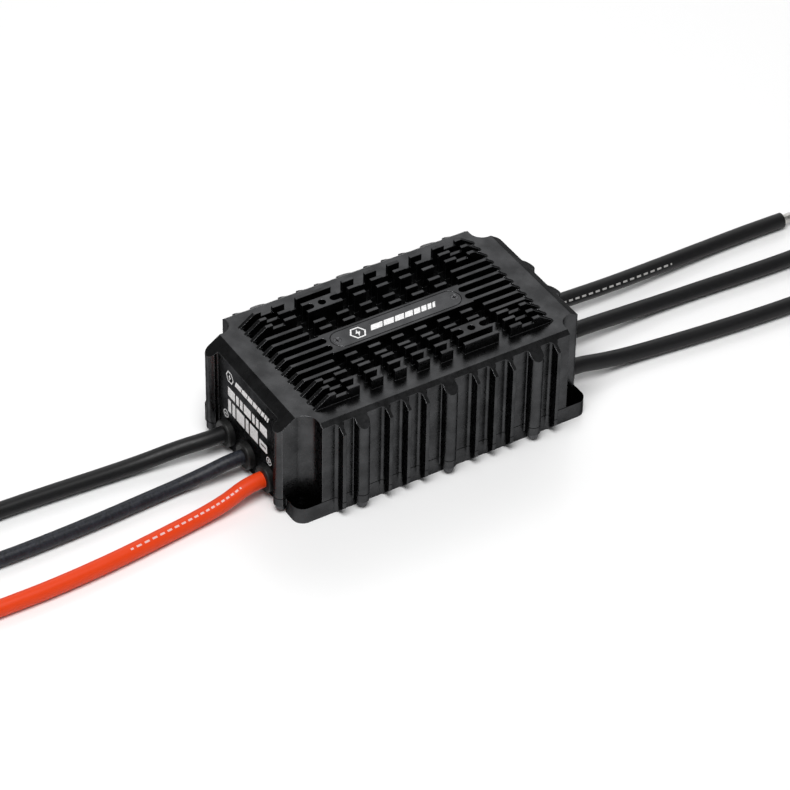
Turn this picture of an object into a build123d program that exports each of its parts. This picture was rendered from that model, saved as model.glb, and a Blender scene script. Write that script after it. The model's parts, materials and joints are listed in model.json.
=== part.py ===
from build123d import *
import math
import os

# Electronic speed controller in a finned aluminium case, in millimetres.
# X runs along the case: battery and signal leads leave at -X, the three phase leads at +X.
# Z is up, and the origin is the middle of the case's underside.

# ---- driving dimensions ----
ledge_half_length = 80.0  # flat top, between the end bevels
ledge_half_width = 46.7
ledge_height = 58.9
end_half_length = 85.3  # the two end faces, flush with the lugs
end_bevel_drop = 3.6
side_half_width = 49.2  # groove floors on the long sides, flush with the base plate
rib_out = 5.6
side_bevel_slope = 0.74
parting_height = 9.6  # top of the base plate

rib_thickness = 2.0
rib_root_radius = 1.8
rib_places = (14.7, 25.2, 35.7, 62.2)
side_lobe_places = (-50.4, 0.0, 50.4)
side_lobe_out = 2.4
side_lobe_radius = 3.7
end_lobe_radius = 3.7
end_lobe_out = 1.1
battery_end_lobe_y = 33.7
phase_end_lobe_y = 12.0

lug_corner_radius = 5.8
lug_hole_x = 80.2
lug_hole_y = 42.5
lug_hole_radius = 2.6
lug_pocket_x = 71.8  # walls of the open corner above each lug
lug_pocket_y = 37.4
lug_pocket_radius = 7.0

fin_pitch = 6.12
fin_thickness = 1.9
fin_tip_x = 69.6
low_fin_top = 62.45
low_fin_shoulder_x = 64.3
tall_fin_top = 64.9
tall_fin_shoulder_x = 61.0
last_fin = 6  # fins are counted outwards from the middle one, 0
first_tall_fin = 4
groove_floor = 53.9
groove_end_x = 68.2
cross_cut_pitch = 13.45
cross_cut_width = 6.8
plateau_half_length = 38.9
plateau_half_width = 7.76
pad_hole_x = 26.8
pad_hole_radius = 2.1
pad_hole_bottom = 51.5
pad_web_half_length = 4.8

plate_length = 74.4
plate_width = 12.0
plate_gap = 0.4  # all round, in the plateau's pocket
plate_thickness = 1.2
plate_screw_x = 34.2
plate_screw_head_radius = 2.0
plate_screw_shank_radius = 1.0

cavity_half_length = 82.5
cavity_half_width = 44.6
cavity_corner_x = 67.6
cavity_corner_y = 33.2
cavity_ceiling = 48.0
base_floor = 3.2

gasket_width = 1.6
gasket_depth = 0.8

screw_seat = 4.8  # underside of the lobes, where the case screws' heads sit
screw_radius = 1.5
screw_bore_radius = 1.6
screw_head_radius = 2.75
screw_head_height = 2.8
screw_reach = 12.0

lead_height = 10.4
battery_lead_y = 20.0
phase_lead_y = 24.8
lead_radius = 4.25
signal_radius = 3.75
grommet_neck_radius = 6.0
grommet_flange_radius = 7.2
grommet_flange = 3.8
grommet_back = 1.2
conductor_radius = 2.6
tinned_length = 8.0

board_x = 66.0
board_y = 41.0
power_board_top = 44.7
power_board_bottom = 42.3
bar_thickness = 2.0
bar_bottom = power_board_bottom - bar_thickness
driver_board_top = 31.6
driver_board_bottom = 30.0
socket_bottom = 26.0
capacitor_radius = 8.0
capacitor_bottom = 15.0

rib_tip_y = side_half_width + rib_out
side_lobe_y = side_half_width + side_lobe_out
end_bevel_height = ledge_height - end_bevel_drop
grommet_face_x = end_half_length + grommet_flange
both = (-1, 1)
corners = [(a, b) for a in both for b in both]

os.makedirs("parts", exist_ok=True)


def save(builder, name):
    """Labels the piece and writes its STEP file."""
    builder.part.label = name
    export_step(builder.part, f"parts/{name}.step")


def at(*places):
    """Picks the sketch corners that lie at any of the given x, y places."""
    return lambda v: any(abs(v.X - x) < 0.01 and abs(v.Y - y) < 0.01 for x, y in places)


# ---- outlines shared by the housing and the base plate ----
side_lobe_centres = [(x, s * side_lobe_y) for x in side_lobe_places for s in both]
end_lobe_x = end_half_length + end_lobe_out
end_lobe_centres = [(-end_lobe_x, s * battery_end_lobe_y) for s in both]
end_lobe_centres += [(end_lobe_x, s * phase_end_lobe_y) for s in both]
case_screw_places = side_lobe_centres + end_lobe_centres
rib_xs = [s * x for x in rib_places for s in both]
half_rib = rib_thickness / 2
lobe_half_neck = math.sqrt(side_lobe_radius**2 - side_lobe_out**2)

# The ribs, with round roots where they leave the groove floors.
with BuildSketch() as ribbed_sides:
    Rectangle(2 * lug_pocket_x, 2 * side_half_width)
    with Locations([(x, s * (side_half_width + rib_out / 2 - 1)) for x in rib_xs for s in both]):
        Rectangle(rib_thickness, rib_out + 2)
    roots = [(x + t * half_rib, s * side_half_width) for x in rib_xs for t in both for s in both]
    fillet(ribbed_sides.vertices().filter_by(at(*roots)), rib_root_radius)
    tips = [(x + t * half_rib, s * rib_tip_y) for x in rib_xs for t in both for s in both]
    fillet(ribbed_sides.vertices().filter_by(at(*tips)), 0.35)

# The screw lobes on the long sides, with a small fillet at each neck.
with BuildSketch() as side_lobes:
    Rectangle(2 * lug_pocket_x, 2 * side_half_width)
    with Locations(side_lobe_centres):
        Circle(side_lobe_radius)
    neck_xs = [x + t * lobe_half_neck for x in side_lobe_places for t in both]
    necks = [(x, s * side_half_width) for x in neck_xs for s in both]
    fillet(side_lobes.vertices().filter_by(at(*necks)), 0.8)

# The screw lobes on the ends stand off a little, with straight necks.
with BuildSketch() as end_lobes:
    Rectangle(2 * end_half_length, 2 * battery_end_lobe_y)
    with Locations(end_lobe_centres):
        Circle(end_lobe_radius)
        Rectangle(2 * end_lobe_out, 2 * end_lobe_radius)
    inner_y = battery_end_lobe_y - end_lobe_radius
    necks = [(-end_half_length, s * inner_y) for s in both]
    for t in both:
        necks += [(end_half_length, s * (phase_end_lobe_y + t * end_lobe_radius)) for s in both]
    fillet(end_lobes.vertices().filter_by(at(*necks)), 0.8)

with BuildSketch() as shell_outline:
    Rectangle(2 * end_half_length, 2 * side_half_width)
    with Locations([(a * (lug_pocket_x + 10), b * (lug_pocket_y + 10)) for a, b in corners]):
        Rectangle(20, 20, mode=Mode.SUBTRACT)
    inner = [(a * lug_pocket_x, b * lug_pocket_y) for a, b in corners]
    fillet(shell_outline.vertices().filter_by(at(*inner)), lug_pocket_radius)
    outer = [(a * lug_pocket_x, b * side_half_width) for a, b in corners]
    fillet(shell_outline.vertices().filter_by(at(*outer)), 2.2)
    phase_end = [(end_half_length, b * lug_pocket_y) for b in both]
    fillet(shell_outline.vertices().filter_by(at(*phase_end)), 2.2)

with BuildSketch() as cavity_outline:
    Rectangle(2 * cavity_half_length, 2 * cavity_half_width)
    with Locations([(a * (cavity_corner_x + 10), b * (cavity_corner_y + 10)) for a, b in corners]):
        Rectangle(20, 20, mode=Mode.SUBTRACT)
    turned = [(a * cavity_corner_x, b * cavity_corner_y) for a, b in corners]
    fillet(cavity_outline.vertices().filter_by(at(*turned)), 6.0)
    ends = [(a * cavity_half_length, b * cavity_corner_y) for a, b in corners]
    fillet(cavity_outline.vertices().filter_by(at(*ends)), 1.2)

# The strips of seam gasket run along the side walls, inside the case screws.
with BuildSketch() as gasket_strips:
    with Locations([(0, s * (cavity_half_width + 2.2)) for s in both]):
        Rectangle(2 * cavity_corner_x - 2, gasket_width)

battery_exits = [(-1, y) for y in (battery_lead_y, 0.0, -battery_lead_y)]
phase_exits = [(1, y) for y in (phase_lead_y, 0.0, -phase_lead_y)]
exits = battery_exits + phase_exits


def end_plane(end, distance):
    """A plane across the case at that distance out, whose normal points out of that end."""
    return Plane(origin=(end * distance, 0, 0), x_dir=(0, 1, 0), z_dir=(end, 0, 0))


def on_end(end, y, z):
    """That place in the local coordinates of end_plane."""
    return (y, end * z)


# ---- heatsink housing ----
fin_numbers = range(-last_fin, last_fin + 1)
low_fins = [k for k in fin_numbers if abs(k) < first_tall_fin]
tall_fins = [k for k in fin_numbers if abs(k) >= first_tall_fin]
web_y = (first_tall_fin + 0.5) * fin_pitch
groove_width = fin_pitch - fin_thickness
cut_places = [cut * cross_cut_pitch for cut in range(-3, 4)]


def tall_cuts(side):
    """The crosswise cuts through the tall fins on that side: all but the one at the web."""
    return [x for x in cut_places if abs(x + side * pad_hole_x) > cross_cut_width]


def fins(numbers, top, shoulder_x):
    """Fins of one height, with sloping ends that run down to the ledge."""
    with BuildSketch(*[Plane.XZ.offset(-k * fin_pitch) for k in numbers]) as profile:
        Polygon(
            (-fin_tip_x, ledge_height - 1),
            (-fin_tip_x, ledge_height),
            (-shoulder_x, top),
            (shoulder_x, top),
            (fin_tip_x, ledge_height),
            (fin_tip_x, ledge_height - 1),
            align=None,
        )
    extrude(profile.sketch, amount=fin_thickness / 2, both=True)


def grooves(spans):
    """Round-ended slots between fins: each span is the low x, the high x and the middle y."""
    with BuildSketch(Plane.XY.offset(groove_floor)) as slots:
        for low, high, y in spans:
            with Locations([((low + high) / 2, y)]):
                SlotOverall(abs(high - low), groove_width)
    extrude(slots.sketch, amount=tall_fin_top - groove_floor + 1, mode=Mode.SUBTRACT)


with BuildPart() as heatsink_housing:
    with BuildSketch(Plane.XY.offset(parting_height)):
        add(shell_outline.sketch)
        add(ribbed_sides.sketch)
        add(side_lobes.sketch)
        add(end_lobes.sketch)
    extrude(amount=ledge_height - parting_height)
    # bevels down the long sides
    with BuildSketch(Plane.YZ):
        far_y = 60.0
        far_z = ledge_height - (far_y - ledge_half_width) * side_bevel_slope
        Polygon(
            (-far_y, 0),
            (-far_y, far_z),
            (-ledge_half_width, ledge_height),
            (ledge_half_width, ledge_height),
            (far_y, far_z),
            (far_y, 0),
            align=None,
        )
    extrude(amount=120, both=True, mode=Mode.INTERSECT)
    # bevels down the ends
    with BuildSketch(Plane.XZ):
        bevel_slope = end_bevel_drop / (end_half_length - ledge_half_length)
        far_x = 100.0
        far_z = ledge_height - (far_x - ledge_half_length) * bevel_slope
        Polygon(
            (-far_x, 0),
            (-far_x, far_z),
            (-ledge_half_length, ledge_height),
            (ledge_half_length, ledge_height),
            (far_x, far_z),
            (far_x, 0),
            align=None,
        )
    extrude(amount=120, both=True, mode=Mode.INTERSECT)
    # cooling fins
    fins(low_fins, low_fin_top, low_fin_shoulder_x)
    fins(tall_fins, tall_fin_top, tall_fin_shoulder_x)
    # webs for the two accessory holes, at opposite corners of the fin field
    with BuildSketch(Plane.XY.offset(ledge_height - 1)):
        with Locations([(-pad_hole_x, web_y), (pad_hole_x, -web_y)]):
            Rectangle(2 * pad_web_half_length + groove_width, fin_pitch)
    extrude(amount=tall_fin_top - ledge_height + 1)
    # crosswise cuts through the low fins, down to the groove floors
    low_y, high_y = 1.5 * fin_pitch, (first_tall_fin - 0.5) * fin_pitch
    with BuildSketch(Plane.XY.offset(groove_floor)):
        with Locations([(x, s * (low_y + high_y) / 2) for x in cut_places for s in both]):
            Rectangle(cross_cut_width, high_y - low_y)
    extrude(amount=tall_fin_top - groove_floor + 1, mode=Mode.SUBTRACT)
    # and through the tall fins, down to the ledge, except where the webs are
    low_y, high_y = high_y, (last_fin + 0.5) * fin_pitch
    with BuildSketch(Plane.XY.offset(ledge_height)):
        for side in both:
            with Locations([(x, side * (low_y + high_y) / 2) for x in tall_cuts(side)]):
                Rectangle(cross_cut_width, high_y - low_y)
    extrude(amount=tall_fin_top - ledge_height + 1, mode=Mode.SUBTRACT)
    # on the far side the ledge ends at the outermost fin, and inside it the cuts go on down
    low_y, high_y = low_y, last_fin * fin_pitch - fin_thickness / 2
    with BuildSketch(Plane.XY.offset(groove_floor)):
        with Locations([(x, (low_y + high_y) / 2) for x in tall_cuts(1)]):
            Rectangle(cross_cut_width, high_y - low_y)
    extrude(amount=tall_fin_top - groove_floor + 1, mode=Mode.SUBTRACT)
    # shallow cuts near the ends lower the tall fins to the height of the others
    with BuildSketch(Plane.XY.offset(low_fin_top)):
        with Locations([(a * 4 * cross_cut_pitch, b * 5 * fin_pitch) for a, b in corners]):
            Rectangle(cross_cut_width, 3.2 * fin_pitch)
    extrude(amount=tall_fin_top - low_fin_top + 1, mode=Mode.SUBTRACT)
    spans = []
    for gap in range(1, last_fin):
        for side in both:
            y = side * (gap + 0.5) * fin_pitch
            stops = []
            if gap >= first_tall_fin and side < 0:
                stops = [(x, cross_cut_width / 2) for x in tall_cuts(side)]
            if gap == first_tall_fin:
                stops.append((-side * pad_hole_x, pad_web_half_length))
            low = -groove_end_x
            for x, half in sorted(stops):
                spans.append((low, x - half, y))
                low = x + half
            spans.append((low, groove_end_x, y))
    grooves(spans)
    # plateau that carries the nameplate
    with BuildSketch(Plane.XY.offset(groove_floor)):
        Rectangle(2 * plateau_half_length + groove_width, 2 * plateau_half_width)
    extrude(amount=low_fin_top - groove_floor)
    grooves([(a * plateau_half_length, a * groove_end_x, b * fin_pitch / 2) for a, b in corners])
    with BuildSketch(Plane.XY.offset(low_fin_top)):
        SlotOverall(plate_length + 2 * plate_gap, plate_width + 2 * plate_gap)
    extrude(amount=-plate_thickness, mode=Mode.SUBTRACT)
    with Locations([(s * plate_screw_x, 0, low_fin_top) for s in both]):
        Hole(plate_screw_shank_radius + 0.05, depth=plate_thickness + 4.0)
    with Locations([(-pad_hole_x, web_y, tall_fin_top), (pad_hole_x, -web_y, tall_fin_top)]):
        Hole(pad_hole_radius, depth=tall_fin_top - pad_hole_bottom)
    # cavity for the electronics
    with BuildSketch(Plane.XY.offset(parting_height)):
        add(cavity_outline.sketch)
    extrude(amount=cavity_ceiling - parting_height, mode=Mode.SUBTRACT)
    # posts that the power board screws up against
    with BuildSketch(Plane.XY.offset(power_board_top)):
        with Locations([(a * 60, b * 37) for a, b in corners]):
            Circle(3.6)
    extrude(amount=cavity_ceiling - power_board_top)
    with BuildSketch(Plane.XY.offset(power_board_top)):
        with Locations([(a * 60, b * 37) for a, b in corners]):
            Circle(1.3)
    extrude(amount=8.0, mode=Mode.SUBTRACT)
    # bores for the case screws
    with BuildSketch(Plane.XY.offset(parting_height)):
        with Locations(case_screw_places):
            Circle(screw_bore_radius)
    extrude(amount=screw_reach + 2, mode=Mode.SUBTRACT)
    # lead holes through the end walls
    for end, y in exits:
        with BuildSketch(end_plane(end, end_half_length + 1)):
            with Locations([on_end(end, y, lead_height)]):
                Circle(grommet_neck_radius)
        extrude(amount=-(end_half_length + 2 - cavity_half_length), mode=Mode.SUBTRACT)
save(heatsink_housing, "heatsink_housing")

# ---- base plate ----
with BuildSketch() as lugs:
    Rectangle(2 * end_half_length, 2 * side_half_width)
    fillet(lugs.vertices(), lug_corner_radius)
with BuildPart() as base_plate:
    with BuildSketch():
        add(lugs.sketch)
        add(ribbed_sides.sketch)
    extrude(amount=parting_height)
    # the ribs' lower ends are cut at 45 degrees
    with BuildSketch(Plane.YZ):
        Polygon(
            (-side_half_width, 0),
            (-side_half_width - parting_height, parting_height),
            (side_half_width + parting_height, parting_height),
            (side_half_width, 0),
            align=None,
        )
    extrude(amount=120, both=True, mode=Mode.INTERSECT)
    with BuildSketch(Plane.XY.offset(screw_seat)):
        add(side_lobes.sketch)
        add(end_lobes.sketch)
    extrude(amount=parting_height - screw_seat)
    with BuildSketch(Plane.XY.offset(base_floor)):
        add(cavity_outline.sketch)
    extrude(amount=parting_height - base_floor, mode=Mode.SUBTRACT)
    with BuildSketch(Plane.XY.offset(parting_height - gasket_depth)):
        add(gasket_strips.sketch)
    extrude(amount=gasket_depth, mode=Mode.SUBTRACT)
    with BuildSketch():
        with Locations(case_screw_places):
            Circle(screw_head_radius + 0.25)
    extrude(amount=screw_seat, mode=Mode.SUBTRACT)
    with BuildSketch():
        with Locations(case_screw_places):
            Circle(screw_bore_radius)
    extrude(amount=parting_height, mode=Mode.SUBTRACT)
    with BuildSketch():
        with Locations([(a * lug_hole_x, b * lug_hole_y) for a, b in corners]):
            Circle(lug_hole_radius)
    extrude(amount=parting_height, mode=Mode.SUBTRACT)
    for end, y in exits:
        with BuildSketch(end_plane(end, end_half_length + 1)):
            with Locations([on_end(end, y, lead_height)]):
                Circle(grommet_neck_radius)
        extrude(amount=-(end_half_length + 2 - cavity_half_length), mode=Mode.SUBTRACT)
save(base_plate, "base_plate")

# ---- nameplate and its screws ----
plate_bottom = low_fin_top - plate_thickness
with BuildPart() as nameplate:
    with BuildSketch(Plane.XY.offset(plate_bottom)):
        SlotOverall(plate_length, plate_width)
    extrude(amount=plate_thickness)
    with Locations([(s * plate_screw_x, 0, low_fin_top) for s in both]):
        CounterSinkHole(
            plate_screw_shank_radius + 0.1,
            plate_screw_head_radius + 0.1,
            depth=plate_thickness,
            counter_sink_angle=90,
        )
save(nameplate, "nameplate")


def cross_slot(size, width):
    """The plan of a Phillips recess."""
    Rectangle(size, width)
    Rectangle(width, size)


with BuildPart() as nameplate_screws:
    head_top = low_fin_top - 0.1
    cone = plate_screw_head_radius - plate_screw_shank_radius
    with BuildSketch(Plane.XZ) as screw_profile:
        with BuildLine():
            Polyline(
                (0, head_top),
                (plate_screw_head_radius, head_top),
                (plate_screw_shank_radius, head_top - cone),
                (plate_screw_shank_radius, head_top - 4.6),
                (0, head_top - 4.6),
                close=True,
            )
        make_face()
    revolve(axis=Axis.Z)
    with BuildSketch(Plane.XY.offset(head_top)):
        cross_slot(2.4, 0.5)
    extrude(amount=-0.8, mode=Mode.SUBTRACT)
with BuildPart() as nameplate_screw_pair:
    with Locations([(s * plate_screw_x, 0, 0) for s in both]):
        add(nameplate_screws.part)
save(nameplate_screw_pair, "nameplate_screws")

# ---- printed marks: plain shapes as thick as a coat of paint ----
mark_thickness = 0.06


def bars(left, right, low, high, widths, lean):
    """A row of plain leaning bars; the widths are relative, and each gap is 0.45 of the thinnest."""
    tall = high - low
    gap = 0.45 * min(widths)
    scale = (right - left) / (sum(widths) + gap * (len(widths) - 1))
    start = left
    for width in [scale * w for w in widths]:
        Polygon(
            (start, low),
            (start + width, low),
            (start + width + lean * tall, high),
            (start + lean * tall, high),
            align=None,
        )
        start += width + scale * gap


def bolt_sign(x, y, size):
    """A zigzag bolt in a six-sided frame."""
    with Locations([(x, y)]):
        RegularPolygon(size, 6)
        RegularPolygon(0.8 * size, 6, mode=Mode.SUBTRACT)
    zigzag = [(0.15, 0.62), (-0.34, -0.08), (-0.04, -0.08), (-0.15, -0.62), (0.34, 0.1), (0.04, 0.1)]
    Polygon(*[(x + a * size, y + b * size) for a, b in zigzag], align=None)


with BuildPart() as nameplate_marks:
    with BuildSketch(Plane.XY.offset(low_fin_top)):
        bolt_sign(-22.3, 0.0, 4.6)
        bars(-15.8, 21.8, -1.9, 1.9, (9, 8, 7, 6, 5, 4, 3, 2), 0.55)
    extrude(amount=mark_thickness)
save(nameplate_marks, "nameplate_marks")

with BuildPart() as end_face_marks:
    battery_face = Plane(origin=(-end_half_length, 0, 0), x_dir=(0, -1, 0), z_dir=(-1, 0, 0))
    with BuildSketch(battery_face):
        bolt_sign(-18.0, 47.0, 3.8)
        bars(-13.0, 19.8, 45.2, 48.6, (9, 8, 7, 6, 5, 4, 3, 2), 0.35)
        bars(-20.1, 18.7, 34.4, 40.0, (8, 3, 3, 8, 3, 3, 8), 0.0)
        bars(-20.1, 9.5, 24.0, 32.0, (3, 3, 8, 3, 8), 0.0)
        # a plain badge, and the signs by the battery leads
        with Locations([(14.9, 26.6)]):
            RectangleRounded(7.6, 5.2, 0.8)
            Rectangle(5.0, 0.9, mode=Mode.SUBTRACT)
        with Locations([(-22.5, 20.8), (20.3, 20.8)]):
            Circle(2.4)
            Circle(1.9, mode=Mode.SUBTRACT)
            Rectangle(2.4, 0.6)
        with Locations([(20.3, 20.8)]):
            Rectangle(0.6, 2.4)
    extrude(amount=mark_thickness)
save(end_face_marks, "end_face_marks")

# ---- case screws: socket head cap screws driven up into the lobes ----
with BuildPart() as case_screws:
    with BuildSketch(Plane.XY.offset(screw_seat - screw_head_height)):
        with Locations(case_screw_places):
            Circle(screw_head_radius)
    extrude(amount=screw_head_height)
    with BuildSketch(Plane.XY.offset(screw_seat)):
        with Locations(case_screw_places):
            Circle(screw_radius)
    extrude(amount=parting_height - screw_seat + screw_reach)
    with BuildSketch(Plane.XY.offset(screw_seat - screw_head_height)):
        with Locations(case_screw_places):
            RegularPolygon(1.25, 6, major_radius=False)
    extrude(amount=1.4, mode=Mode.SUBTRACT)
save(case_screws, "case_screws")

# ---- grommets: rubber bushes with a flange outside and a lip inside the wall ----
grommet_names = {
    "negative": (-1, battery_lead_y, lead_radius),
    "signal": (-1, 0.0, signal_radius),
    "positive": (-1, -battery_lead_y, lead_radius),
    "phase_a": (1, phase_lead_y, lead_radius),
    "phase_b": (1, 0.0, lead_radius),
    "phase_c": (1, -phase_lead_y, lead_radius),
}
for name, (end, y, bore) in grommet_names.items():
    with BuildPart() as grommet:
        with BuildSketch(end_plane(end, end_half_length)):
            with Locations([on_end(end, y, lead_height)]):
                Circle(grommet_flange_radius)
        extrude(amount=grommet_flange)
        rim = grommet.faces().sort_by(Axis.X)[0 if end < 0 else -1].edges()
        fillet(rim, 1.1)
        with BuildSketch(end_plane(end, cavity_half_length)):
            with Locations([on_end(end, y, lead_height)]):
                Circle(grommet_neck_radius)
        extrude(amount=end_half_length - cavity_half_length)
        with BuildSketch(end_plane(end, cavity_half_length - grommet_back)):
            with Locations([on_end(end, y, lead_height)]):
                Circle(grommet_neck_radius + 0.8)
        extrude(amount=grommet_back)
        with BuildSketch(end_plane(end, cavity_half_length - grommet_back)):
            with Locations([on_end(end, y, lead_height)]):
                Circle(bore)
        extrude(amount=grommet_face_x - cavity_half_length + grommet_back, mode=Mode.SUBTRACT)
    save(grommet, f"{name}_grommet")


# ---- leads ----
def corner_radii(points):
    """For each corner, 0.45 of its shorter run over the tangent of half its turn."""
    runs = [Vector(b) - Vector(a) for a, b in zip(points, points[1:])]
    radii = []
    for first, second in zip(runs, runs[1:]):
        half_turn = math.radians(first.get_angle(second)) / 2
        radii.append(0.45 * min(first.length, second.length) / math.tan(half_turn))
    return radii


def tube(points, radius):
    """A round tube along straight runs joined by tangent arcs."""
    radii = corner_radii(points)
    with BuildPart() as made:
        with BuildLine() as route:
            FilletPolyline(*points, radius=radii)
        with BuildSketch(route.line ^ 0):
            Circle(radius)
        sweep()
    length = sum(edge.length for edge in route.line.edges())
    drift = made.part.volume / (math.pi * radius**2 * length)
    print(f"length {length:.1f}, volume over section times length {drift:.4f}, radii", end=" ")
    print([round(r, 1) for r in radii])
    return made


# Each free lead starts at its grommet's outer face and comes to rest on the bench.
lead_routes = {
    "negative_lead": [
        (-89.1, 20, 10.4), (-97, 20, 10.4), (-112, 23.4, 8.6), (-132, 26.8, 5.0), (-156, 28.6, 4.35),
        (-182, 30.2, 4.35), (-208, 31.4, 4.35), (-232, 31.6, 4.35), (-249, 31.0, 4.35),
    ],
    "positive_lead": [
        (-89.1, -20, 10.4), (-97, -20, 10.4), (-111, -22.2, 6.7), (-127, -23.4, 4.4), (-148, -26.1, 4.35),
        (-172, -29.0, 4.35), (-198, -31.0, 4.35), (-224, -31.8, 4.35), (-248, -31.2, 4.35),
    ],
    "signal_cable": [
        (-89.1, 0, 10.4), (-97, 0, 10.4), (-109, 1.6, 6.9), (-124, 3.1, 4.0), (-143, 2.2, 3.85),
        (-166, 0.8, 3.85), (-192, -0.2, 3.85), (-219, -0.4, 3.85), (-246, 0.8, 3.85),
        (-267, 3.4, 3.85), (-284, 6.6, 3.85),
    ],
    "phase_lead_a": [
        (89.1, 24.8, 10.4), (100, 24.8, 10.4), (122, 24.7, 9.3), (147, 25.0, 8.0), (173, 26.2, 6.7),
        (199, 27.9, 5.2), (224, 28.9, 4.4), (246, 29.0, 4.35), (264, 28.4, 4.35),
    ],
    "phase_lead_b": [
        (89.1, 0, 10.4), (99, 0, 10.4), (119, 0.9, 9.0), (143, 1.9, 6.5), (168, 2.1, 4.7),
        (193, 1.2, 4.35), (218, -0.3, 4.35), (242, -1.4, 4.35), (262, -1.6, 4.35),
    ],
    "phase_lead_c": [
        (89.1, -24.8, 10.4), (96, -24.8, 10.4), (108, -25.4, 7.9), (124, -25.8, 5.2), (144, -27.4, 4.35),
        (168, -30.0, 4.35), (193, -32.2, 4.35), (218, -33.8, 4.35), (242, -34.6, 4.35), (262, -34.2, 4.35),
    ],
}
for name, points in lead_routes.items():
    print(name, end=": ")
    radius = signal_radius if name == "signal_cable" else lead_radius
    save(tube(points, radius), name)
    if name != "signal_cable":
        last, before = Vector(points[-1]), Vector(points[-2])
        with BuildPart() as tinned_end:
            with BuildSketch(Plane(origin=last, z_dir=last - before)):
                Circle(conductor_radius)
            extrude(amount=tinned_length)
            tip = tinned_end.faces().sort_by(Axis.X)[0 if last.X < 0 else -1]
            fillet(tip.edges(), 0.8)
        save(tinned_end, f"{name}_tinned_end")

# ---- signal plug: a moulded shell with a row of contacts ----
cable_end = Vector(lead_routes["signal_cable"][-1])
cable_way = cable_end - Vector(lead_routes["signal_cable"][-2])
plug_plane = Plane(origin=cable_end, x_dir=Vector(0, 0, 1).cross(cable_way), z_dir=cable_way)
plug_width, plug_height, plug_length = 15.0, 7.4, 16.0
contact_places = [(-5.1 + 2.54 * i, 0) for i in range(5)]
with BuildPart() as signal_plug:
    with BuildSketch(plug_plane):
        RectangleRounded(11.0, 7.4, 2.0)
    extrude(amount=5.0)
    with BuildSketch(plug_plane.offset(5.0)):
        RectangleRounded(plug_width, plug_height, 1.0)
    extrude(amount=plug_length - 5.0)
    with BuildSketch(plug_plane.offset(plug_length)):
        with Locations(contact_places):
            Rectangle(1.5, 2.4)
    extrude(amount=-7.0, mode=Mode.SUBTRACT)
save(signal_plug, "signal_plug")

with BuildPart() as plug_contacts:
    with BuildSketch(plug_plane.offset(plug_length - 7.0)):
        with Locations(contact_places):
            Rectangle(1.1, 1.8)
            Rectangle(0.5, 1.2, mode=Mode.SUBTRACT)
    extrude(amount=6.2)
save(plug_contacts, "signal_plug_contacts")

# ---- the leads' inner tails, from the grommets to the copper bars ----
tail_x = 66.0
bus_bar_y = 24.0
for name, (end, y, bore) in grommet_names.items():
    start = (end * grommet_face_x, y, lead_height)
    if name == "signal":
        points = [start, (end * 72, y, lead_height), (10, y, 7.6), (26, y, 11.0), (26, y, socket_bottom)]
    else:
        top_y = y if end > 0 else math.copysign(bus_bar_y, y)
        points = [start, (end * 74, y, lead_height), (end * tail_x, top_y, 20.0)]
        points.append((end * tail_x, top_y, bar_bottom))
    print(f"{name} tail", end=": ")
    save(tube(points, bore), f"{name}_lead_tail")

# ---- power board, with the switching transistors pressed to the ceiling ----
with BuildPart() as power_board:
    with BuildSketch(Plane.XY.offset(power_board_bottom)):
        RectangleRounded(2 * board_x, 2 * board_y, 3.0)
    extrude(amount=power_board_top - power_board_bottom)
    with BuildSketch(Plane.XY.offset(power_board_bottom)):
        with Locations([(a * 60, b * 37) for a, b in corners]):
            Circle(1.7)
    extrude(amount=power_board_top - power_board_bottom, mode=Mode.SUBTRACT)
save(power_board, "power_board")

with BuildPart() as power_board_screws:
    with BuildSketch(Plane.XY.offset(power_board_bottom - 2.0)):
        with Locations([(a * 60, b * 37) for a, b in corners]):
            Circle(2.75)
    extrude(amount=2.0)
    with BuildSketch(Plane.XY.offset(power_board_bottom)):
        with Locations([(a * 60, b * 37) for a, b in corners]):
            Circle(1.2)
    extrude(amount=8.0)
    with BuildSketch(Plane.XY.offset(power_board_bottom - 2.0)):
        with Locations([(a * 60, b * 37) for a, b in corners]):
            cross_slot(3.0, 0.7)
    extrude(amount=1.2, mode=Mode.SUBTRACT)
save(power_board_screws, "power_board_screws")

pad_thickness = 1.0
with BuildPart() as thermal_pad:
    with BuildSketch(Plane.XY.offset(cavity_ceiling - pad_thickness)):
        Rectangle(104, 76)
    extrude(amount=pad_thickness)
save(thermal_pad, "thermal_pad")

with BuildPart() as transistors:
    with BuildSketch(Plane.XY.offset(power_board_top)):
        with GridLocations(16.5, 18.0, 6, 4):
            Rectangle(10.0, 11.5)
            with Locations([(0, -6.6)]):
                Rectangle(8.4, 1.8)
    extrude(amount=0.6)
    with BuildSketch(Plane.XY.offset(power_board_top + 0.6)):
        with GridLocations(16.5, 18.0, 6, 4):
            Rectangle(9.6, 10.6)
    extrude(amount=cavity_ceiling - pad_thickness - power_board_top - 0.6)
save(transistors, "switching_transistors")


def bar(name, x0, x1, y, width):
    """A flat copper bar soldered under the power board."""
    with BuildPart() as made:
        with BuildSketch(Plane.XY.offset(bar_bottom)):
            with Locations([((x0 + x1) / 2, y)]):
                RectangleRounded(x1 - x0, width, 1.5)
        extrude(amount=bar_thickness)
    save(made, name)


bar("negative_bus_bar", -71.0, 12.0, bus_bar_y, 14)
bar("positive_bus_bar", -71.0, 12.0, -bus_bar_y, 14)
for letter, y in zip("abc", (phase_lead_y, 0.0, -phase_lead_y)):
    bar(f"phase_{letter}_bar", 58.0, 72.0, y, 13)

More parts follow.
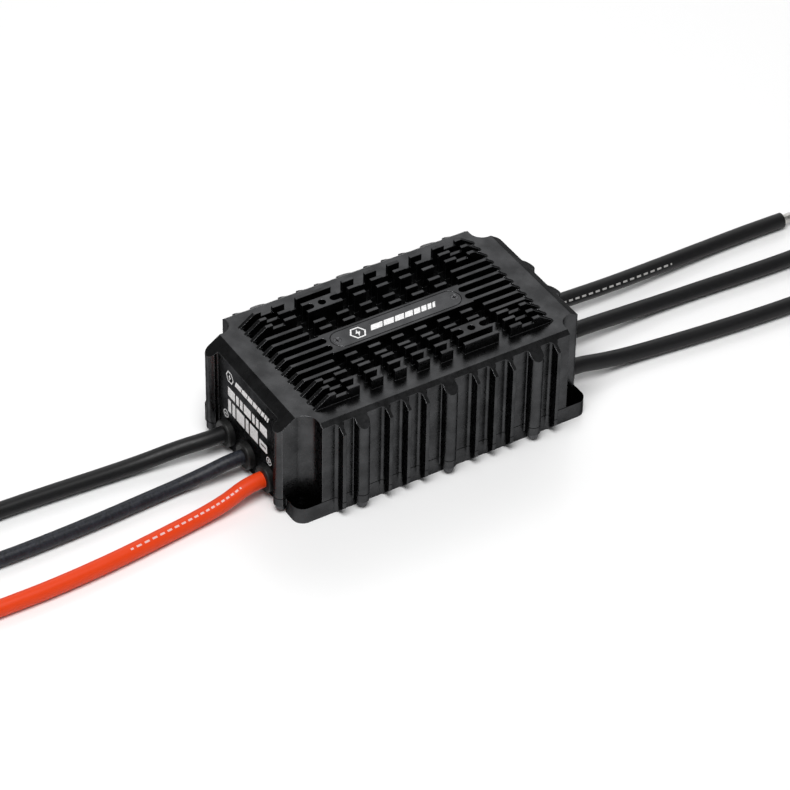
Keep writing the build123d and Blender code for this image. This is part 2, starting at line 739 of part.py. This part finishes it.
capacitor_places = [(-50 + 17.5 * i, s * 8.6) for i in range(4) for s in both]
with BuildPart() as bus_capacitors:
    with BuildSketch(Plane.XY.offset(capacitor_bottom)):
        with Locations(capacitor_places):
            Circle(capacitor_radius)
    extrude(amount=power_board_bottom - 0.4 - capacitor_bottom)
    with BuildSketch(Plane.XY.offset(power_board_bottom - 0.4)):
        with Locations([(x + t, y) for x, y in capacitor_places for t in (-3.75, 3.75)]):
            Circle(0.4)
    extrude(amount=0.4)
save(bus_capacitors, "bus_capacitors")

with BuildPart() as current_shunts:
    with BuildSketch(Plane.XY.offset(power_board_bottom - 1.4)):
        with Locations([(20, 15), (20, -15)]):
            Rectangle(6.3, 12)
    extrude(amount=1.4)
save(current_shunts, "current_shunts")

# ---- driver board under the power board, on hexagonal spacers ----
driver_low_x, driver_high_x, driver_half_y = 17.0, 56.0, 34.0
driver_mid_x = (driver_low_x + driver_high_x) / 2
spacer_places = [(x, s * (driver_half_y - 4)) for x in (driver_low_x + 4, driver_high_x - 4) for s in both]
with BuildPart() as driver_board:
    with BuildSketch(Plane.XY.offset(driver_board_bottom)):
        with Locations([(driver_mid_x, 0)]):
            RectangleRounded(driver_high_x - driver_low_x, 2 * driver_half_y, 2.0)
        with Locations(spacer_places):
            Circle(1.35, mode=Mode.SUBTRACT)
    extrude(amount=driver_board_top - driver_board_bottom)
save(driver_board, "driver_board")

with BuildPart() as board_spacers:
    with BuildSketch(Plane.XY.offset(driver_board_top)):
        with Locations(spacer_places):
            RegularPolygon(2.5, 6, major_radius=False)
            Circle(1.1, mode=Mode.SUBTRACT)
    extrude(amount=power_board_bottom - driver_board_top)
save(board_spacers, "board_spacers")

with BuildPart() as driver_board_screws:
    with BuildSketch(Plane.XY.offset(driver_board_bottom - 1.6)):
        with Locations(spacer_places):
            Circle(2.2)
    extrude(amount=1.6)
    with BuildSketch(Plane.XY.offset(driver_board_bottom)):
        with Locations(spacer_places):
            Circle(1.0)
    extrude(amount=7.0)
    with BuildSketch(Plane.XY.offset(driver_board_bottom - 1.6)):
        with Locations(spacer_places):
            cross_slot(2.4, 0.6)
    extrude(amount=0.9, mode=Mode.SUBTRACT)
save(driver_board_screws, "driver_board_screws")

with BuildPart() as microcontroller:
    with BuildSketch(Plane.XY.offset(driver_board_bottom - 1.4)):
        with Locations([(44, 0)]):
            RectangleRounded(10, 10, 0.4)
    extrude(amount=1.4)
save(microcontroller, "microcontroller")

with BuildPart() as gate_drivers:
    with BuildSketch(Plane.XY.offset(driver_board_bottom - 1.5)):
        with Locations([(34, -22), (34, 0), (34, 22)]):
            Rectangle(5.0, 6.2)
    extrude(amount=1.5)
save(gate_drivers, "gate_drivers")

with BuildPart() as board_header:
    with BuildSketch(Plane.XY.offset(driver_board_top)):
        with Locations([(48.5, 0)]):
            Rectangle(5.0, 26)
    extrude(amount=power_board_bottom - driver_board_top)
save(board_header, "board_header")

with BuildPart() as signal_socket:
    with BuildSketch(Plane.XY.offset(socket_bottom)):
        with Locations([(26, 0)]):
            RectangleRounded(8.4, 13.0, 0.8)
    extrude(amount=driver_board_bottom - socket_bottom)
save(signal_socket, "signal_socket")

with BuildPart() as supply_choke:
    with BuildSketch(Plane.XY.offset(driver_board_bottom - 6.0)):
        with Locations([(48, -20)]):
            RectangleRounded(11.0, 11.0, 2.0)
    extrude(amount=6.0)
save(supply_choke, "supply_choke")

# ---- seam gasket ----
with BuildPart() as seam_gasket:
    with BuildSketch(Plane.XY.offset(parting_height - gasket_depth)):
        add(gasket_strips.sketch)
    extrude(amount=gasket_depth)
save(seam_gasket, "seam_gasket")
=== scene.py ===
"""Electronic speed controller: camera, leads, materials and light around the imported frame."""

import json
import math

import bpy
from mathutils import Matrix, Vector


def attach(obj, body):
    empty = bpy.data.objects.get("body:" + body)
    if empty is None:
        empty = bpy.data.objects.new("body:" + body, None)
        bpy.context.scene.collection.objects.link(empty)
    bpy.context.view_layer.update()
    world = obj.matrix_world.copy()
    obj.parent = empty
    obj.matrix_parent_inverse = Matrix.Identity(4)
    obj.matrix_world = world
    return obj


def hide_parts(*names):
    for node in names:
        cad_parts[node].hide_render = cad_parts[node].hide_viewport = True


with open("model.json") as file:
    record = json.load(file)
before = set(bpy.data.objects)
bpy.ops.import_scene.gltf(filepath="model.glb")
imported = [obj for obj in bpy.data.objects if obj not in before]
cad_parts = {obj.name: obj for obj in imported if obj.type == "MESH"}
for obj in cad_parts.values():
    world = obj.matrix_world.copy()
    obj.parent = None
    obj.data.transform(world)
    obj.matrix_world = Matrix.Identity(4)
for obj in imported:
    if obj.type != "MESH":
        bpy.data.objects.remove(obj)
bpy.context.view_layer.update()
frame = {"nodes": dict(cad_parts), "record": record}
nodes = frame["nodes"]
scene = bpy.context.scene
MM = 0.001

# ---------------------------------------------------------------- camera

# angles in radians, places in metres, lens in millimetres
YAW = -0.5614
ELEVATION = 0.6966
ROLL = 0.0196
DISTANCE = 1.85006
SIDEWAYS = 0.00014
UPWARDS = 0.00973
LENS = 165.34
SENSOR = 36.0


def make_camera():
    """The camera stands off the object's base, turned to the photograph's angle."""
    back = Vector((
        math.sin(YAW) * math.cos(ELEVATION),
        -math.cos(YAW) * math.cos(ELEVATION),
        math.sin(ELEVATION),
    ))
    right = Vector((math.cos(YAW), math.sin(YAW), 0.0))
    up = back.cross(right)
    place = back * DISTANCE + right * SIDEWAYS + up * UPWARDS
    rolled_right = right * math.cos(ROLL) + up * math.sin(ROLL)
    rolled_up = up * math.cos(ROLL) - right * math.sin(ROLL)
    data = bpy.data.cameras.new("camera")
    data.lens = LENS
    data.sensor_width = SENSOR
    data.clip_start = 0.05
    data.clip_end = 50.0
    camera = bpy.data.objects.new("camera", data)
    scene.collection.objects.link(camera)
    axes = Matrix((rolled_right, rolled_up, back)).transposed()
    camera.matrix_world = Matrix.Translation(place) @ axes.to_4x4()
    scene.camera = camera


make_camera()

# ---------------------------------------------------------------- leads

# all in millimetres; each route holds the points of a smooth NURBS line
LEAD = 8.5
SIGNAL = 7.5
LEAD_ROUTES = {
    "negative_lead": [
        (-89.1, 20, 10.4), (-97, 20, 10.4), (-112, 23.4, 8.6), (-132, 26.8, 5.0),
        (-156, 28.6, 4.35), (-182, 30.2, 4.35), (-208, 31.4, 4.35), (-232, 31.6, 4.35),
        (-249, 31.0, 4.35),
    ],
    "positive_lead": [
        (-89.1, -20, 10.4), (-97, -20, 10.4), (-111, -22.2, 6.7), (-127, -23.4, 4.4),
        (-148, -26.1, 4.35), (-172, -29.0, 4.35), (-198, -31.0, 4.35), (-224, -31.8, 4.35),
        (-248, -31.2, 4.35),
    ],
    "signal_cable": [
        (-89.1, 0, 10.4), (-97, 0, 10.4), (-109, 1.6, 6.9), (-124, 3.1, 4.0), (-143, 2.2, 3.85),
        (-166, 0.8, 3.85), (-192, -0.2, 3.85), (-219, -0.4, 3.85), (-246, 0.8, 3.85),
        (-267, 3.4, 3.85), (-284, 6.6, 3.85),
    ],
    "phase_lead_a": [
        (89.1, 24.8, 10.4), (100, 24.8, 10.4), (122, 24.7, 9.3), (147, 25.0, 8.0),
        (173, 26.2, 6.7), (199, 27.9, 5.2), (224, 28.9, 4.4), (246, 29.0, 4.35),
        (264, 28.4, 4.35),
    ],
    "phase_lead_b": [
        (89.1, 0, 10.4), (99, 0, 10.4), (119, 0.9, 9.0), (143, 1.9, 6.5), (168, 2.1, 4.7),
        (193, 1.2, 4.35), (218, -0.3, 4.35), (242, -1.4, 4.35), (262, -1.6, 4.35),
    ],
    "phase_lead_c": [
        (89.1, -24.8, 10.4), (96, -24.8, 10.4), (108, -25.4, 7.9), (124, -25.8, 5.2),
        (144, -27.4, 4.35), (168, -30.0, 4.35), (193, -32.2, 4.35), (218, -33.8, 4.35),
        (242, -34.6, 4.35), (262, -34.2, 4.35),
    ],
}


def make_lead(name):
    """A free lead: a NURBS curve through the air and along the table, as thick as the real one."""
    thickness = SIGNAL if name == "signal_cable" else LEAD
    data = bpy.data.curves.new(name + "_curve", "CURVE")
    data.dimensions = "3D"
    data.resolution_u = 24
    data.bevel_depth = 1.0  # times each point's radius, which the curve's bounds take as a length
    data.bevel_resolution = 10
    data.use_fill_caps = True
    spline = data.splines.new("NURBS")
    points = LEAD_ROUTES[name]
    spline.points.add(len(points) - 1)
    for point, place in zip(spline.points, points):
        point.co = (*(c * MM for c in place), 1.0)
        point.radius = thickness / 2 * MM
    spline.order_u = 3
    spline.use_endpoint_u = True
    lead = bpy.data.objects.new(name + "_free", data)
    scene.collection.objects.link(lead)
    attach(lead, "root")
    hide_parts(name)
    return lead


leads = {name: make_lead(name) for name in LEAD_ROUTES}

# ---------------------------------------------------------------- materials


class Nodes:
    """A new material, and short ways to add nodes to it."""

    def __init__(self, name):
        self.material = bpy.data.materials.new(name)
        self.material.use_nodes = True
        self.tree = self.material.node_tree
        self.shader = self.tree.nodes["Principled BSDF"]

    def add(self, kind, inputs=None, **settings):
        node = self.tree.nodes.new(kind)
        for key, value in settings.items():
            setattr(node, key, value)
        for key, value in (inputs or {}).items():
            self.set(node, key, value)
        return node

    def set(self, node, key, value):
        """Sets a node's input to a value, or links another node's output to it."""
        socket = node.inputs[key]
        if isinstance(value, bpy.types.NodeSocket):
            self.tree.links.new(value, socket)
        else:
            socket.default_value = value

    def place(self, scale=(1, 1, 1)):
        """The surface's place in the row frame, in millimetres times the scale."""
        coordinates = self.add("ShaderNodeTexCoord")
        mapping = self.add("ShaderNodeMapping")
        mapping.inputs["Scale"].default_value = [1000 * s for s in scale]
        self.tree.links.new(coordinates.outputs["Object"], mapping.inputs["Vector"])
        return mapping.outputs["Vector"]

    def noise(self, place, scale, detail=2.0, roughness=0.5):
        made = self.add(
            "ShaderNodeTexNoise",
            {"Vector": place, "Scale": scale, "Detail": detail, "Roughness": roughness},
        )
        return made.outputs["Fac"]

    def ramp(self, fac, low, high, start=0.0, end=1.0):
        """Maps fac from low..high to start..end, clamped."""
        made = self.add(
            "ShaderNodeMapRange",
            {"Value": fac, "From Min": low, "From Max": high, "To Min": start, "To Max": end},
        )
        return made.outputs["Result"]

    def mix(self, fac, a, b):
        """Mixes two colours."""
        made = self.add("ShaderNodeMix", data_type="RGBA")
        self.set(made, "Factor", fac)
        for key, value in ((6, a), (7, b)):
            plain = not isinstance(value, bpy.types.NodeSocket)
            self.set(made, key, (*value, 1.0) if plain else value)
        return made.outputs[2]

    def math(self, operation, a, b=0.0):
        made = self.add("ShaderNodeMath", {0: a, 1: b}, operation=operation)
        return made.outputs[0]

    def bump(self, height, distance, strength=1.0, normal=None):
        made = self.add(
            "ShaderNodeBump",
            {"Height": height, "Distance": distance, "Strength": strength},
        )
        if normal is not None:
            self.set(made, "Normal", normal)
        return made.outputs["Normal"]

    def soft_edge(self, radius):
        """The normal, with sharp edges rounded over the radius."""
        return self.add("ShaderNodeBevel", {"Radius": radius}, samples=6).outputs["Normal"]

    def edge_mask(self, rounded):
        """Where a rounded normal differs from the surface's own: 1 on edges, 0 on flats."""
        sharp = self.add("ShaderNodeNewGeometry").outputs["Normal"]
        turn = self.add("ShaderNodeVectorMath", {0: rounded, 1: sharp}, operation="DOT_PRODUCT")
        return self.ramp(turn.outputs["Value"], 0.995, 0.86)

    def finish(self, color, roughness, normal=None, **inputs):
        values = {"Base Color": color, "Roughness": roughness, **inputs}
        for key, value in values.items():
            if key == "Base Color" and not isinstance(value, bpy.types.NodeSocket):
                value = (*value, 1.0)
            self.set(self.shader, key, value)
        if normal is not None:
            self.set(self.shader, "Normal", normal)
        return self.material


SEAM = 9.6  # height of the joint between the housing and the base plate, in mm
SEAM_FADE = (0.28, 0.14)  # how far from the joint its dark line ends, and where it is full, in mm
SEAM_TONE = (0.001, 0.001, 0.001)
CASE_EDGE = 0.4  # radius of the case's softened edges, in mm
SMALL_EDGE = 0.2  # and of those of small parts


def shaded(color, factor):
    return [factor * c for c in color]


def anodised(name, tone, gloss, grain=0.006):
    """Black anodised aluminium: a fine blasted grain, faint mottling, and a painted highlight
    along the edges.
    """
    m = Nodes(name)
    place = m.place()
    rounded = m.soft_edge(CASE_EDGE * MM)
    # painted highlight: the edge mask lightens the colour to three times the tone along every edge
    edge = m.math("MULTIPLY", m.edge_mask(rounded), 0.6)
    mottle = m.ramp(m.noise(place, 0.09, 3.0), 0.35, 0.65)
    fine = m.noise(place, 2.6, 3.0, 0.6)
    color = m.mix(mottle, shaded(tone, 0.8), shaded(tone, 1.25))
    color = m.mix(edge, color, shaded(tone, 3.0))
    # a dark line along the joint
    height = m.add("ShaderNodeSeparateXYZ", {"Vector": place}).outputs["Z"]
    away = m.math("ABSOLUTE", m.math("SUBTRACT", height, SEAM))
    joint = m.ramp(away, *SEAM_FADE)
    color = m.mix(joint, color, SEAM_TONE)
    roughness = m.ramp(m.noise(place, 0.35, 4.0, 0.6), 0.3, 0.7, gloss - 0.05, gloss + 0.05)
    roughness = m.math("ADD", roughness, m.math("MULTIPLY", joint, 0.5))
    normal = m.bump(fine, grain * MM, 0.6, rounded)
    glancing = {"Specular Tint": (0.35, 0.35, 0.35, 1.0)}
    return m.finish(color, roughness, normal, Metallic=1.0, **glancing)


DASH_COLOR = (0.75, 0.74, 0.72)
DASH_COVER = 0.6  # how much of the insulation's colour a dash hides
DASH_SHARE = 0.6  # the dash's part of each dash and gap
DASH_HALF_WIDTH = 0.02  # as a part of the way around the lead


def dash_mask(m, first, last, turn, count):
    """A row of dashes along a lead.

    It runs from first to last, as parts of the length, at turn, as a part of the way around,
    and count dashes would fill the whole length.
    """
    uv = m.add("ShaderNodeTexCoord").outputs["UV"]
    axes = m.add("ShaderNodeSeparateXYZ", {"Vector": uv})
    along, around = axes.outputs["X"], axes.outputs["Y"]
    begun = m.math("GREATER_THAN", along, first)
    within = m.math("MULTIPLY", begun, m.math("LESS_THAN", along, last))
    aside = m.math("ABSOLUTE", m.math("SUBTRACT", around, turn))
    narrow = m.math("LESS_THAN", aside, DASH_HALF_WIDTH)
    step = m.math("FRACT", m.math("MULTIPLY", along, count))
    dash = m.math("LESS_THAN", step, DASH_SHARE)
    return m.math("MULTIPLY", m.math("MULTIPLY", within, narrow), dash)


def silicone(name, color, dusty, gloss=0.42, dashes=None):
    """Silicone insulation: soft gloss, fine drag lines along the lead and a trace of dust."""
    m = Nodes(name)
    place = m.place()
    lines = m.noise(m.place((0.06, 1.3, 1.3)), 1.6, 2.0)
    dust = m.noise(place, 0.55, 4.0, 0.65)
    shade = m.mix(m.ramp(dust, 0.56, 0.82, 0.0, 0.35), color, dusty)
    if dashes:
        mask = dash_mask(m, *dashes)
        shade = m.mix(m.math("MULTIPLY", mask, DASH_COVER), shade, DASH_COLOR)
    roughness = m.ramp(dust, 0.3, 0.75, gloss - 0.06, gloss + 0.1)
    normal = m.bump(lines, 0.03 * MM, 0.5)
    return m.finish(shade, roughness, normal, **{"Specular IOR Level": 0.28})


def rubber(name, tone, gloss):
    """Moulded rubber with a faint uneven grain."""
    m = Nodes(name)
    place = m.place()
    grain = m.noise(place, 1.4, 3.0, 0.6)
    color = m.mix(m.ramp(grain, 0.4, 0.75), [tone] * 3, shaded([tone] * 3, 1.8))
    roughness = m.ramp(grain, 0.3, 0.7, gloss - 0.06, gloss + 0.08)
    return m.finish(color, roughness, m.bump(grain, 0.03 * MM, 0.5), **{"Specular IOR Level": 0.3})


def sheath(name):
    """Wrinkled heat-shrink sheath over the signal wires, with painted shade in the wrinkles'
    hollows.
    """
    m = Nodes(name)
    place = m.place()
    wrinkle = m.noise(m.place((0.5, 0.22, 0.22)), 1.5, 4.0, 0.55)
    fine = m.noise(place, 1.8, 2.0)
    # painted shade: the colour follows the wrinkles, darker in their hollows and paler on their
    # crests
    color = m.mix(m.ramp(wrinkle, 0.35, 0.7), (0.008, 0.009, 0.012), (0.022, 0.025, 0.034))
    normal = m.bump(fine, 0.02 * MM, 0.4, m.bump(wrinkle, 0.5 * MM, 0.6))
    roughness = m.ramp(wrinkle, 0.3, 0.7, 0.36, 0.5)
    return m.finish(color, roughness, normal, **{"Specular IOR Level": 0.3})


def metal(name, color, gloss, dull=0.8, grain=1.2, stretch=(1, 1, 1)):
    """Bare or plated metal with fine tool marks and patches that have dulled."""
    m = Nodes(name)
    marks = m.noise(m.place(stretch), grain, 3.0, 0.6)
    patches = m.noise(m.place(), 0.3, 3.0)
    shade = m.mix(m.ramp(patches, 0.35, 0.7), shaded(color, dull), color)
    rounded = m.soft_edge(SMALL_EDGE * MM)
    normal = m.bump(marks, 0.01 * MM, 0.5, rounded)
    return m.finish(shade, m.ramp(patches, 0.3, 0.7, gloss, gloss + 0.14), normal, Metallic=1.0)


def strands(name):
    """Tinned copper strands: fine twisted ridges along the end, filled with solder."""
    m = Nodes(name)
    ridges = m.noise(m.place((0.1, 1.0, 1.0)), 2.4, 2.0)
    patches = m.noise(m.place(), 0.5, 3.0)
    color = m.mix(m.ramp(patches, 0.35, 0.7), (0.42, 0.41, 0.39), (0.72, 0.71, 0.68))
    normal = m.bump(ridges, 0.25 * MM, 0.7)
    return m.finish(color, m.ramp(patches, 0.3, 0.7, 0.26, 0.42), normal, Metallic=1.0)


def moulded(name, color, gloss, grain=0.9):
    """Moulded plastic or print with a fine, uneven surface."""
    m = Nodes(name)
    texture = m.noise(m.place(), grain, 3.0, 0.6)
    rounded = m.soft_edge(SMALL_EDGE * MM)
    shade = m.mix(m.ramp(texture, 0.35, 0.7), shaded(color, 0.85), shaded(color, 1.2))
    return m.finish(
        shade,
        m.ramp(texture, 0.3, 0.7, gloss - 0.05, gloss + 0.07),
        m.bump(texture, 0.02 * MM, 0.5, rounded),
    )


def circuit_board(name):
    """Green solder mask over copper: traces show as a slightly paler, raised pattern."""
    m = Nodes(name)
    place = m.place((1, 1, 0.05))
    traces = m.add("ShaderNodeTexVoronoi", {"Vector": place, "Scale": 0.35}, distance="CHEBYCHEV")
    edge = m.ramp(traces.outputs["Distance"], 0.38, 0.42)
    color = m.mix(edge, (0.010, 0.075, 0.030), (0.018, 0.12, 0.050))
    return m.finish(color, 0.32, m.bump(edge, 0.04 * MM, 0.6))


RED, RED_DUST = (0.72, 0.048, 0.004), (0.76, 0.08, 0.02)
COAL, COAL_DUST = (0.006, 0.006, 0.0065), (0.02, 0.02, 0.022)
BLACK = (0.056, 0.0566, 0.0584)
FINISHES = {
    "case_anodised": anodised("case_anodised_look", BLACK, 0.29),
    "base_anodised": anodised("base_anodised_look", BLACK, 0.29),
    "nameplate_black": anodised("nameplate_look", shaded(BLACK, 1.2), 0.27, 0.003),
    "printed_marks": moulded("printed_marks_look", (0.80, 0.80, 0.80), 0.5),
    "black_steel": metal("black_steel_look", (0.10, 0.10, 0.105), 0.30),
    "gasket_rubber": rubber("gasket_look", 0.012, 0.6),
    "thermal_pad": rubber("thermal_pad_look", 0.22, 0.7),
    "silicone_black": silicone("silicone_black_look", COAL, COAL_DUST),
    "silicone_red": silicone("silicone_red_look", RED, RED_DUST),
    "signal_sheath": sheath("signal_sheath_look"),
    "grommet_rubber": rubber("grommet_look", 0.005, 0.5),
    "tinned_copper": strands("tinned_copper_look"),
    "circuit_board": circuit_board("circuit_board_look"),
    "steel_screw": metal("steel_screw_look", (0.58, 0.58, 0.60), 0.24),
    "chip_black": moulded("chip_look", (0.02, 0.02, 0.021), 0.5),
    "copper": metal("copper_look", (0.90, 0.44, 0.28), 0.22, stretch=(0.1, 1, 1)),
    "capacitor_sleeve": moulded("capacitor_look", (0.015, 0.015, 0.03), 0.28),
    "brass_spacer": metal("brass_look", (0.80, 0.60, 0.26), 0.22),
    "connector_black": moulded("connector_look", (0.02, 0.02, 0.02), 0.4),
    "ferrite": moulded("ferrite_look", (0.07, 0.07, 0.075), 0.6),
    "plug_black": moulded("plug_look", (0.016, 0.016, 0.017), 0.42),
    "contact_metal": metal("contact_look", (0.86, 0.68, 0.34), 0.2),
}
# leads with a row of dashes, which otherwise look like their slot's finish
PRINTED = {
    "positive_lead": silicone(
        "red_printed_look", RED, RED_DUST, dashes=(0.12, 0.62, 0.14, 36)
    ),
    "phase_lead_a": silicone(
        "black_printed_look", COAL, COAL_DUST, dashes=(0.08, 0.58, 0.39, 40)
    ),
}
slot_of = {part["node"]: part["material_slot"] for part in frame["record"]["subparts"]}


def paint(obj, slot):
    """Gives every material slot of a piece the finish of one of the record's slots."""
    if not obj.data.materials:
        obj.data.materials.append(None)
    for i in range(len(obj.data.materials)):
        obj.data.materials[i] = FINISHES[slot]


for node_name, node in nodes.items():
    paint(node, slot_of[node_name])
for lead_name, lead in leads.items():
    paint(lead, slot_of[lead_name])
    if lead_name in PRINTED:
        lead.data.materials[0] = PRINTED[lead_name]

# ---------------------------------------------------------------- floor and light

FLOOR_REACH = 6.0  # half the floor's width, in metres
WHITE = (1.0, 1.0, 1.0, 1.0)
# the studio's wall and ceiling brightness, and how steep a direction has to be for the ceiling's
WALL, CEILING, CEILING_RISE = 0.9, 0.12, 0.45


def make_floor():
    """A wide, plain, pale floor with a soft sheen."""
    mesh = bpy.data.meshes.new("floor")
    signs = [(-1, -1), (1, -1), (1, 1), (-1, 1)]
    corners = [(x * FLOOR_REACH, y * FLOOR_REACH, 0.0) for x, y in signs]
    mesh.from_pydata(corners, [], [(0, 1, 2, 3)])
    floor = bpy.data.objects.new("floor", mesh)
    scene.collection.objects.link(floor)
    m = Nodes("floor_look")
    m.finish((0.92, 0.92, 0.92), 0.22, **{"Specular IOR Level": 0.35})
    floor.data.materials.append(m.material)


def add_light(name, place, aim, size, power):
    """A rectangular soft box that looks at aim."""
    data = bpy.data.lights.new(name, "AREA")
    data.shape = "RECTANGLE"
    data.size, data.size_y = size
    data.energy = power
    light = bpy.data.objects.new(name, data)
    scene.collection.objects.link(light)
    light.location = place
    light.rotation_euler = (Vector(aim) - Vector(place)).to_track_quat("-Z", "Y").to_euler()


def make_world():
    """A pale studio: bright walls near the horizon that fade to a dim ceiling."""
    world = bpy.data.worlds.new("studio")
    world.use_nodes = True
    tree = world.node_tree
    direction = tree.nodes.new("ShaderNodeTexCoord").outputs["Generated"]
    axes = tree.nodes.new("ShaderNodeSeparateXYZ")
    fade = tree.nodes.new("ShaderNodeMapRange")
    fade.interpolation_type = "SMOOTHSTEP"
    fade.inputs["From Min"].default_value = 0.0
    fade.inputs["From Max"].default_value = CEILING_RISE
    fade.inputs["To Min"].default_value = WALL
    fade.inputs["To Max"].default_value = CEILING
    tree.links.new(direction, axes.inputs["Vector"])
    tree.links.new(axes.outputs["Z"], fade.inputs["Value"])
    tree.links.new(fade.outputs["Result"], tree.nodes["Background"].inputs["Strength"])
    tree.nodes["Background"].inputs["Color"].default_value = WHITE
    scene.world = world


make_floor()
add_light("back_right", (0.75, 1.05, 1.06), (0.0, 0.0, 0.0), (1.7, 1.2), 8.5)
add_light("overhead", (-0.5, -0.5, 1.9), (0.0, 0.0, 0.0), (1.2, 1.2), 40.0)
make_world()
scene.view_settings.view_transform = "Standard"
scene.view_settings.look = "None"
